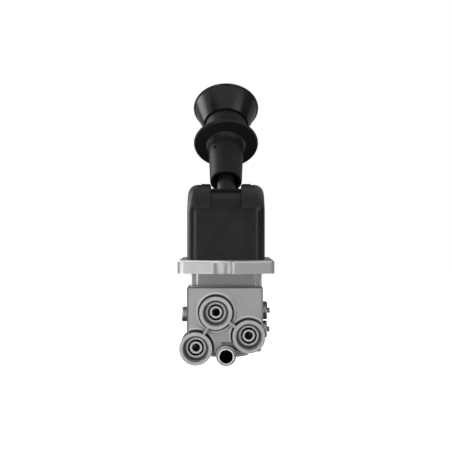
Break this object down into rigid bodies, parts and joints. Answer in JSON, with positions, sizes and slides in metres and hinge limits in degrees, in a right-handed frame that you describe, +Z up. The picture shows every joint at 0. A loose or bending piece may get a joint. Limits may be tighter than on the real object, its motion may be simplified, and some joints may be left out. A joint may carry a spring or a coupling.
{
  "type": "parking brake valve",
  "caption": "Hand control valve for an air-operated parking brake: cast valve body with push-in ports under a mounting plate, arched hood, and a leaning lever with a lift-to-release collar.",
  "frame": {"origin": "middle of the mounting plate's underside, straight below the lever's pivot", "axes": "+Z up out of the panel towards the lever, -Y the side of the air ports, +X to the right when looking at the ports"},
  "size_m": [0.073, 0.1659, 0.2266],
  "materials": {
    "cast_aluminium": "fine blasted die casting",
    "black_plastic": "satin moulded",
    "cover_plastic": "satin moulded",
    "knob_plastic": "fine grain moulded",
    "shaft_steel": "black coated",
    "plated_steel": "zinc plated",
    "spring_steel": "drawn wire",
    "turned_aluminium": "turned",
    "bush_bronze": "sintered",
    "exhaust_metal": "turned",
    "seal_rubber": "moulded",
    "gasket_sheet": "pressed sheet",
    "collet_metal": "turned",
    "cartridge_metal": "turned"
  },
  "bodies": {
    "housing": {"valve_body": "cast_aluminium", "mounting_plate": "cast_aluminium", "hood": "black_plastic", "gate_bracket": "plated_steel", "pivot_pin": "plated_steel", "pivot_clips": "plated_steel", "bracket_screws": "plated_steel", "body_screws": "plated_steel", "hood_screws": "plated_steel", "circlip": "plated_steel", "left_plug": "plated_steel", "upper_right_plug": "plated_steel", "lower_right_plug": "plated_steel", "valve_seat": "turned_aluminium", "bottom_cap": "turned_aluminium", "tappet_bush": "bush_bronze", "exhaust_stub": "exhaust_metal", "cap_seal": "seal_rubber", "top_port_seal": "seal_rubber", "left_port_seal": "seal_rubber", "right_port_seal": "seal_rubber", "body_gasket": "gasket_sheet", "top_port_sleeve": "collet_metal", "left_port_sleeve": "collet_metal", "right_port_sleeve": "collet_metal", "top_port_cartridge": "cartridge_metal", "left_port_cartridge": "cartridge_metal", "right_port_cartridge": "cartridge_metal"},
    "lever": {"lever_shaft": "shaft_steel", "knob": "knob_plastic", "slot_cover": "cover_plastic"},
    "collar": {"locking_collar": "knob_plastic", "collar_pin": "plated_steel", "lock_rod": "plated_steel", "lock_bar": "plated_steel", "collar_spring": "spring_steel"},
    "inner_cover": {"inner_slot_cover": "cover_plastic"},
    "tappet": {"tappet": "plated_steel", "spring_seat": "turned_aluminium", "graduating_spring": "spring_steel"},
    "piston": {"graduating_piston": "turned_aluminium", "piston_ring": "seal_rubber"},
    "inlet_valve": {"inlet_valve": "turned_aluminium", "valve_spring": "spring_steel"},
    "top_collet": {"top_port_collet": "collet_metal"},
    "left_collet": {"left_port_collet": "collet_metal"},
    "right_collet": {"right_port_collet": "collet_metal"}
  },
  "joints": [
    {"name": "lever_swing", "type": "hinge", "parent": "housing", "child": "lever", "pos_m": [0, 0, 0.033], "axis": [1, 0, 0], "range_deg": [0, 84], "stiffness_Nm_per_rad": 0.3, "springref_deg": -28.65},
    {"name": "collar_lift", "type": "slide", "parent": "lever", "child": "collar", "axis": [0, 0.6691, 0.7431], "range_m": [0, 0.007], "stiffness_N_per_m": 400, "springref_m": -0.01, "deforming": ["collar_spring"]},
    {"name": "inner_cover_turn", "type": "hinge", "parent": "housing", "child": "inner_cover", "pos_m": [0, 0, 0.033], "axis": [1, 0, 0], "range_deg": [0, 42.5]},
    {"name": "tappet_slide", "type": "slide", "parent": "housing", "child": "tappet", "axis": [0, 0, -1], "range_m": [0, 0.00795], "deforming": ["graduating_spring"]},
    {"name": "piston_slide", "type": "slide", "parent": "housing", "child": "piston", "axis": [0, 0, -1], "range_m": [0, 0.00252]},
    {"name": "inlet_valve_slide", "type": "slide", "parent": "housing", "child": "inlet_valve", "axis": [0, 0, -1], "range_m": [0, 0.00122], "deforming": ["valve_spring"]},
    {"name": "top_collet_push", "type": "slide", "parent": "housing", "child": "top_collet", "axis": [0, 1, 0], "range_m": [0, 0.0012], "stiffness_N_per_m": 600, "springref_m": -0.0008},
    {"name": "left_collet_push", "type": "slide", "parent": "housing", "child": "left_collet", "axis": [0, 1, 0], "range_m": [0, 0.0012], "stiffness_N_per_m": 600, "springref_m": -0.0008},
    {"name": "right_collet_push", "type": "slide", "parent": "housing", "child": "right_collet", "axis": [0, 1, 0], "range_m": [0, 0.0012], "stiffness_N_per_m": 600, "springref_m": -0.0008}
  ],
  "couplings": [
    {"joint": "inner_cover_turn", "follows": "lever_swing", "ratio": 0.5},
    {"joint": "tappet_slide", "follows": "lever_swing", "m_per_rad": 0.0054},
    {"joint": "piston_slide", "follows": "lever_swing", "m_per_rad": 0.0017052},
    {"joint": "inlet_valve_slide", "follows": "lever_swing", "m_per_rad": 0.00081851}
  ]
}
